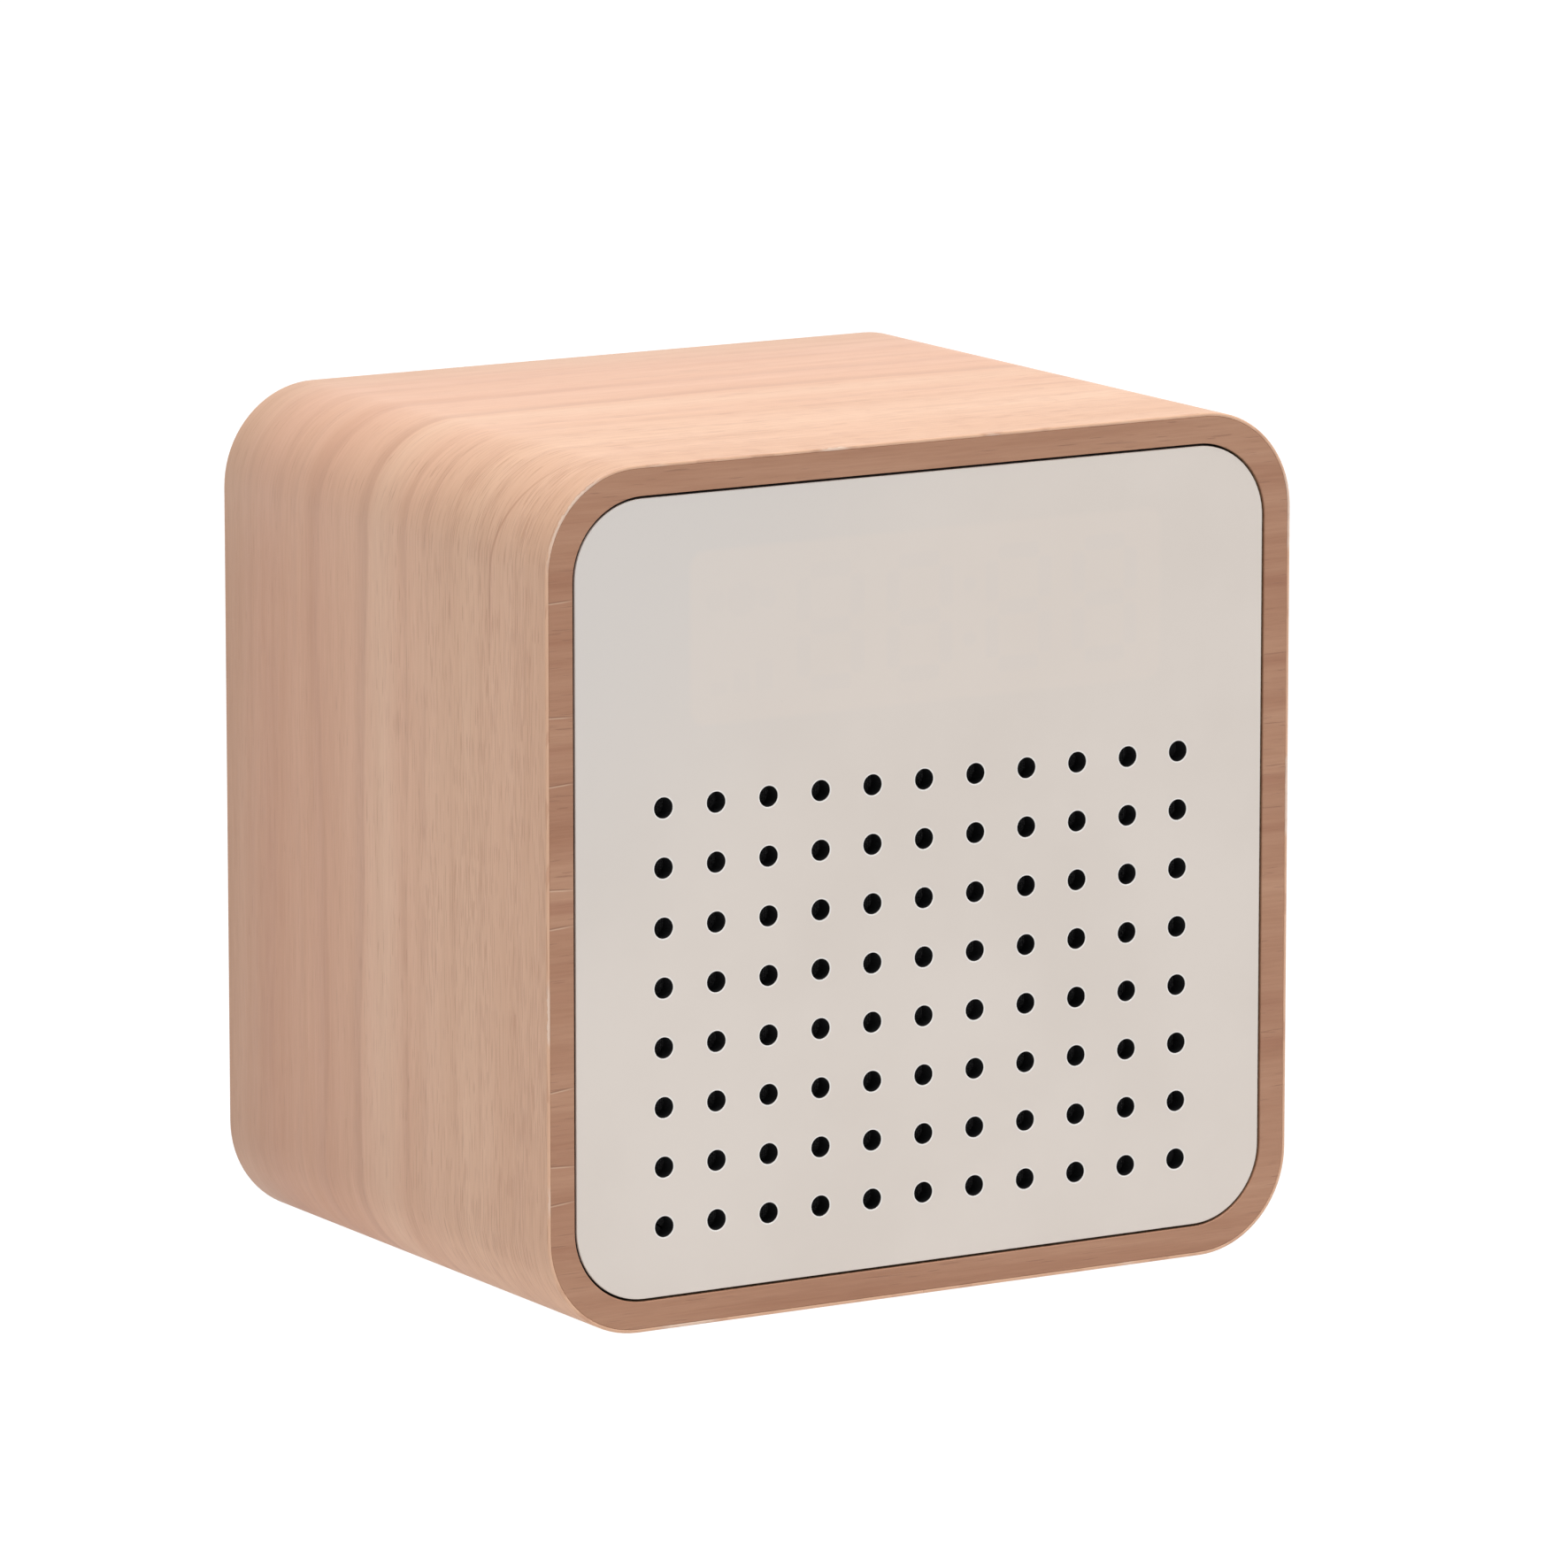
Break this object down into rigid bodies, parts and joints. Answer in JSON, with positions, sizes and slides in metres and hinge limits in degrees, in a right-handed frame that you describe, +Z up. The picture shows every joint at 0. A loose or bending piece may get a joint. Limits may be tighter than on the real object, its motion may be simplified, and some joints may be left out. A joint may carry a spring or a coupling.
{
  "type": "carbon dioxide monitor",
  "caption": "Near-cubic wood-veneered desktop air monitor with a pale perforated front, hidden number display, and a vented rear cover with power inlet and push buttons.",
  "frame": {"origin": "under the middle of the object, at the level that its four feet stand on", "axes": "+X to the right as seen from the front, +Y from the front skin to the back cover, +Z up"},
  "size_m": [0.101, 0.077, 0.1022],
  "materials": {
    "fibreboard": "raw fine fibre",
    "side_veneer": "oiled, matt, straight grain round the case",
    "edge_veneer": "oiled, matt, horizontal grain",
    "foot_rubber": "matt",
    "opal_plastic": "fine satin, slightly see-through",
    "clear_glue": "clear film",
    "black_cloth": "fine open weave",
    "black_moulding": "matt",
    "screw_steel": "zinc plated",
    "spacer_brass": "turned",
    "display_white": "smooth",
    "light_guide": "cloudy resin",
    "led_resin": "clear resin over phosphor",
    "circuit_board": "solder mask",
    "chip_black": "moulded epoxy",
    "connector_cream": "moulded nylon",
    "cable_white": "laminated film",
    "gasket_foam": "closed-cell foam",
    "gold_plate": "thin gold coat over plastic",
    "filter_white": "felted membrane",
    "pin_tin": "tinned",
    "lamp_glass": "clear",
    "can_steel": "pressed, tin plated",
    "can_aluminium": "bright drawn",
    "ferrite_black": "moulded ferrite",
    "cover_plastic": "fine spark texture",
    "button_plastic": "fine satin"
  },
  "bodies": {
    "case": {"board_chips": "chip_black", "buzzer": "black_moulding", "capacitors": "can_aluminium", "carrier_screws": "screw_steel", "case_core": "fibreboard", "climate_sensor": "chip_black", "clock_crystal": "can_steel", "colon_and_signs": "light_guide", "digit_bars": "light_guide", "display_board": "circuit_board", "display_cable": "cable_white", "display_connector": "connector_cream", "display_driver": "chip_black", "display_housing": "display_white", "display_leds": "led_resin", "display_screws": "screw_steel", "front_carrier": "black_moulding", "front_edge_veneer": "edge_veneer", "front_skin": "opal_plastic", "gas_cell_base": "black_moulding", "gas_cell_cover": "gold_plate", "gas_cell_filters": "filter_white", "gas_cell_pins": "pin_tin", "grille_cloth": "black_cloth", "infrared_detector": "can_steel", "infrared_lamp": "lamp_glass", "main_board": "circuit_board", "main_board_screws": "screw_steel", "main_connectors": "connector_cream", "power_coil": "ferrite_black", "radio_module": "circuit_board", "radio_shield": "can_steel", "rear_cover": "cover_plastic", "rear_edge_veneer": "edge_veneer", "rear_screws": "screw_steel", "rubber_feet": "foot_rubber", "sensor_board": "circuit_board", "sensor_cable": "cable_white", "sensor_connector": "connector_cream", "sensor_gasket": "gasket_foam", "sensor_screws": "screw_steel", "skin_glue": "clear_glue", "socket_shell": "can_steel", "socket_tongue": "black_moulding", "switch_bodies": "black_moulding", "tie_spacers": "spacer_brass", "vent_cloth": "black_cloth", "wrap_veneer": "side_veneer"},
    "down_key": {"down_button": "button_plastic", "down_switch_plunger": "black_moulding"},
    "set_key": {"set_button": "button_plastic", "set_switch_plunger": "black_moulding"},
    "up_key": {"up_button": "button_plastic", "up_switch_plunger": "black_moulding"}
  },
  "joints": [
    {"name": "down_press", "type": "slide", "parent": "case", "child": "down_key", "axis": [0, -1, 0], "range_m": [0, 0.0005], "stiffness_N_per_m": 1600},
    {"name": "set_press", "type": "slide", "parent": "case", "child": "set_key", "axis": [0, -1, 0], "range_m": [0, 0.0005], "stiffness_N_per_m": 1600},
    {"name": "up_press", "type": "slide", "parent": "case", "child": "up_key", "axis": [0, -1, 0], "range_m": [0, 0.0005], "stiffness_N_per_m": 1600}
  ]
}
